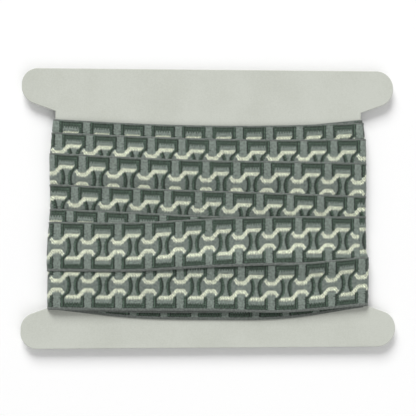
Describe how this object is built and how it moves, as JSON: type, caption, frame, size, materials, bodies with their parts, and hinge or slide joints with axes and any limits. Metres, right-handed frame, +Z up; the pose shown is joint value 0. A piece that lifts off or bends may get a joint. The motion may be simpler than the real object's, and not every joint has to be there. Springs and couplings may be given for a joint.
{
  "type": "roll of braid trim on a winding card",
  "caption": "Flat woven braid wound in overlapping runs round the waist of an H-shaped card, with its cut end tucked in.",
  "frame": {"origin": "middle of the card in plan, on the surface that the winding lies on", "axes": "+X along the front runs of the braid, +Y up the card, +Z up out of the card's face"},
  "size_m": [0.2, 0.149, 0.0111],
  "materials": {
    "card": "matt pale card",
    "braid": "woven grey, green and cream braid"
  },
  "bodies": {
    "root": {"card": "card", "braid_roll": "braid", "loose_end": "braid"}
  },
  "joints": []
}
